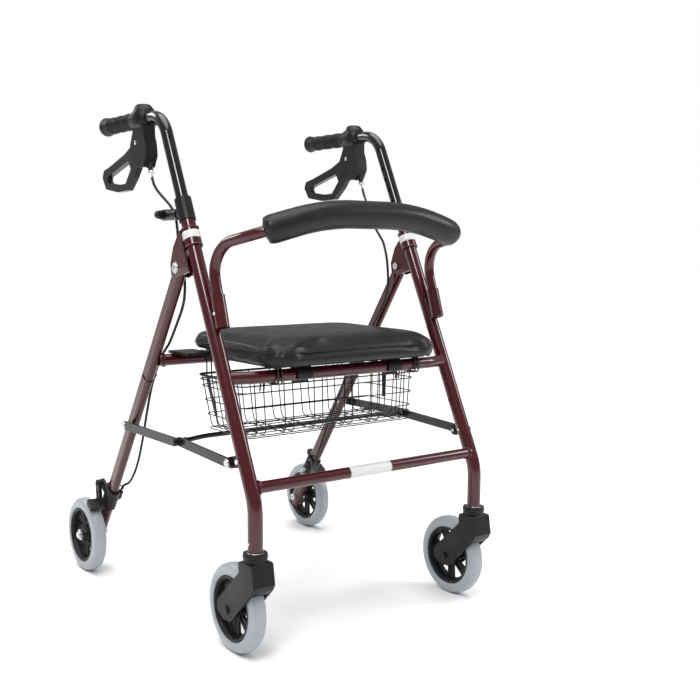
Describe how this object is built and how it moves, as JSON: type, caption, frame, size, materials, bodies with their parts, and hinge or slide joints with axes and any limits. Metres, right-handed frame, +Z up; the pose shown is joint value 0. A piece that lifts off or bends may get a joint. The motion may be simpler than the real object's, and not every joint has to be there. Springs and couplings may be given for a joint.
{
  "type": "rollator walker",
  "caption": "Folding rollator walker with front casters, braked rear wheels, padded seat, bowed backrest, wire basket and height-adjustable handles with loop brakes.",
  "frame": {"origin": "on the floor and on the middle plane between left and right, 262 mm behind the front axles and 285 mm ahead of the rear ones; the bounding box is centred 7.6 mm behind it", "axes": "+Z up; the walker rolls towards -Y; its left side, seen by the user, is +X"},
  "size_m": [0.609, 0.7068, 0.938],
  "materials": {
    "burgundy_tube": "gloss",
    "black_metal": "gloss",
    "black_plastic": "matte",
    "gloss_plastic": "gloss",
    "grey_tyre": "matte",
    "grip_rubber": "matte",
    "bright_steel": "polished",
    "seat_vinyl": "satin",
    "black_wire": "satin",
    "cable_sheath": "satin"
  },
  "bodies": {
    "front_frame": {"upright_left": "burgundy_tube", "upright_right": "burgundy_tube", "front_crossbar": "burgundy_tube", "front_seat_rail": "burgundy_tube", "tube_collar_left": "black_plastic", "tube_collar_right": "black_plastic", "brace_clip_left": "black_plastic", "brace_clip_right": "black_plastic", "frame_bolts": "bright_steel", "backrest_tube": "burgundy_tube", "backrest_foam": "seat_vinyl", "cable_middle": "cable_sheath"},
    "rear_frame": {"rear_leg_left": "burgundy_tube", "rear_leg_right": "burgundy_tube", "rear_seat_bar": "burgundy_tube", "leg_plugs": "black_plastic", "rear_axles": "bright_steel", "brake_body_left": "black_plastic", "brake_body_right": "black_plastic", "rear_brace_bolts": "bright_steel", "basket_hangers": "black_wire", "cable_lower_left": "cable_sheath", "cable_lower_right": "cable_sheath"},
    "front_braces": {"front_brace_left": "black_metal", "front_brace_right": "black_metal"},
    "brace_bar": {"brace_crossbar": "black_metal"},
    "rear_braces": {"rear_brace_left": "black_metal", "rear_brace_right": "black_metal"},
    "basket_frame": {"basket": "black_wire"},
    "seat": {"seat_board": "black_plastic", "seat_pad": "seat_vinyl", "seat_clips": "black_plastic"},
    "caster_left": {"caster_fork_left": "black_plastic"},
    "front_wheel_left": {"front_hub_left": "black_plastic", "front_tyre_left": "grey_tyre"},
    "rear_wheel_left": {"rear_hub_left": "black_plastic", "rear_tyre_left": "grey_tyre"},
    "handle_left": {"handle_tube_left": "black_metal", "grip_left": "grip_rubber", "brake_housing_left": "black_plastic", "cable_upper_left": "cable_sheath"},
    "lever_left": {"brake_lever_left": "gloss_plastic"},
    "brake_left": {"brake_arm_left": "black_plastic"},
    "knob_left": {"height_knob_left": "black_plastic"},
    "caster_snap_left": {"caster_button_left": "bright_steel"},
    "backrest_snap_left": {"backrest_button_left": "bright_steel"},
    "caster_right": {"caster_fork_right": "black_plastic"},
    "front_wheel_right": {"front_hub_right": "black_plastic", "front_tyre_right": "grey_tyre"},
    "rear_wheel_right": {"rear_hub_right": "black_plastic", "rear_tyre_right": "grey_tyre"},
    "handle_right": {"handle_tube_right": "black_metal", "grip_right": "grip_rubber", "brake_housing_right": "black_plastic", "cable_upper_right": "cable_sheath"},
    "lever_right": {"brake_lever_right": "gloss_plastic"},
    "brake_right": {"brake_arm_right": "black_plastic"},
    "knob_right": {"height_knob_right": "black_plastic"},
    "caster_snap_right": {"caster_button_right": "bright_steel"},
    "backrest_snap_right": {"backrest_button_right": "bright_steel"}
  },
  "joints": [
    {"name": "fold", "type": "hinge", "parent": "front_frame", "child": "rear_frame", "pos_m": [0, -0.089, 0.64], "axis": [-1, 0, 0], "range_deg": [0, 38]},
    {"name": "front_brace_pivot", "type": "hinge", "parent": "front_frame", "child": "front_braces", "pos_m": [0, -0.261, 0.324], "axis": [1, 0, 0], "range_deg": [0, 56.9]},
    {"name": "brace_bar_pivot", "type": "hinge", "parent": "front_braces", "child": "brace_bar", "pos_m": [0, -0.092, 0.332], "axis": [-1, 0, 0], "range_deg": [0, 56.9]},
    {"name": "rear_brace_pivot", "type": "hinge", "parent": "rear_frame", "child": "rear_braces", "pos_m": [0, 0.115, 0.331], "axis": [-1, 0, 0], "range_deg": [0, 35.78]},
    {"name": "basket_off", "type": "slide", "parent": "front_frame", "child": "basket_frame", "axis": [0, -1, 0], "range_m": [0, 0.36]},
    {"name": "seat_tilt", "type": "hinge", "parent": "front_frame", "child": "seat", "pos_m": [0, -0.239, 0.458], "axis": [1, 0, 0], "range_deg": [0, 65]},
    {"name": "caster_swivel_left", "type": "hinge", "parent": "front_frame", "child": "caster_left", "pos_m": [0.247, -0.319, 0.15], "axis": [0, 0, 1], "continuous": true},
    {"name": "front_wheel_spin_left", "type": "hinge", "parent": "caster_left", "child": "front_wheel_left", "pos_m": [0.247, -0.262, 0.076], "axis": [1, 0, 0], "continuous": true},
    {"name": "rear_wheel_spin_left", "type": "hinge", "parent": "rear_frame", "child": "rear_wheel_left", "pos_m": [0.283, 0.285, 0.076], "axis": [1, 0, 0], "continuous": true},
    {"name": "handle_height_left", "type": "slide", "parent": "front_frame", "child": "handle_left", "axis": [0, 0.4291, 0.9033], "range_m": [-0.075, 0.04]},
    {"name": "brake_squeeze_left", "type": "hinge", "parent": "handle_left", "child": "lever_left", "pos_m": [0.247, 0.078, 0.868], "axis": [1, 0, 0], "range_deg": [0, 14], "stiffness_Nm_per_rad": 0.8},
    {"name": "brake_apply_left", "type": "hinge", "parent": "rear_frame", "child": "brake_left", "pos_m": [0.265, 0.24549, 0.18987], "axis": [1, 0, 0], "range_deg": [0, 6.1]},
    {"name": "knob_turn_left", "type": "hinge", "parent": "front_frame", "child": "knob_left", "pos_m": [0.247, -0.09558, 0.733], "axis": [0, 1, 0], "range_deg": [0, 540]},
    {"name": "caster_snap_press_left", "type": "slide", "parent": "front_frame", "child": "caster_snap_left", "axis": [-1, 0, 0], "range_m": [0, 0.0026], "stiffness_N_per_m": 800},
    {"name": "backrest_snap_press_left", "type": "slide", "parent": "front_frame", "child": "backrest_snap_left", "axis": [-1, 0, 0], "range_m": [0, 0.004], "stiffness_N_per_m": 600},
    {"name": "caster_swivel_right", "type": "hinge", "parent": "front_frame", "child": "caster_right", "pos_m": [-0.247, -0.319, 0.15], "axis": [0, 0, 1], "continuous": true},
    {"name": "front_wheel_spin_right", "type": "hinge", "parent": "caster_right", "child": "front_wheel_right", "pos_m": [-0.247, -0.262, 0.076], "axis": [1, 0, 0], "continuous": true},
    {"name": "rear_wheel_spin_right", "type": "hinge", "parent": "rear_frame", "child": "rear_wheel_right", "pos_m": [-0.283, 0.285, 0.076], "axis": [1, 0, 0], "continuous": true},
    {"name": "handle_height_right", "type": "slide", "parent": "front_frame", "child": "handle_right", "axis": [0, 0.4291, 0.9033], "range_m": [-0.075, 0.04]},
    {"name": "brake_squeeze_right", "type": "hinge", "parent": "handle_right", "child": "lever_right", "pos_m": [-0.247, 0.078, 0.868], "axis": [1, 0, 0], "range_deg": [0, 14], "stiffness_Nm_per_rad": 0.8},
    {"name": "brake_apply_right", "type": "hinge", "parent": "rear_frame", "child": "brake_right", "pos_m": [-0.265, 0.24549, 0.18987], "axis": [1, 0, 0], "range_deg": [0, 6.1]},
    {"name": "knob_turn_right", "type": "hinge", "parent": "front_frame", "child": "knob_right", "pos_m": [-0.247, -0.09558, 0.733], "axis": [0, 1, 0], "range_deg": [0, 540]},
    {"name": "caster_snap_press_right", "type": "slide", "parent": "front_frame", "child": "caster_snap_right", "axis": [1, 0, 0], "range_m": [0, 0.0026], "stiffness_N_per_m": 800},
    {"name": "backrest_snap_press_right", "type": "slide", "parent": "front_frame", "child": "backrest_snap_right", "axis": [1, 0, 0], "range_m": [0, 0.004], "stiffness_N_per_m": 600}
  ],
  "couplings": [
    {"joint": "front_brace_pivot", "follows": "fold", "ratio": 1.4972},
    {"joint": "brace_bar_pivot", "follows": "fold", "ratio": 1.4972},
    {"joint": "rear_brace_pivot", "follows": "fold", "ratio": 0.9412},
    {"joint": "basket_off", "follows": "fold", "m_per_rad": 0.54265},
    {"joint": "brake_apply_left", "follows": "brake_squeeze_left", "ratio": 0.4286},
    {"joint": "brake_apply_right", "follows": "brake_squeeze_right", "ratio": 0.4286}
  ]
}
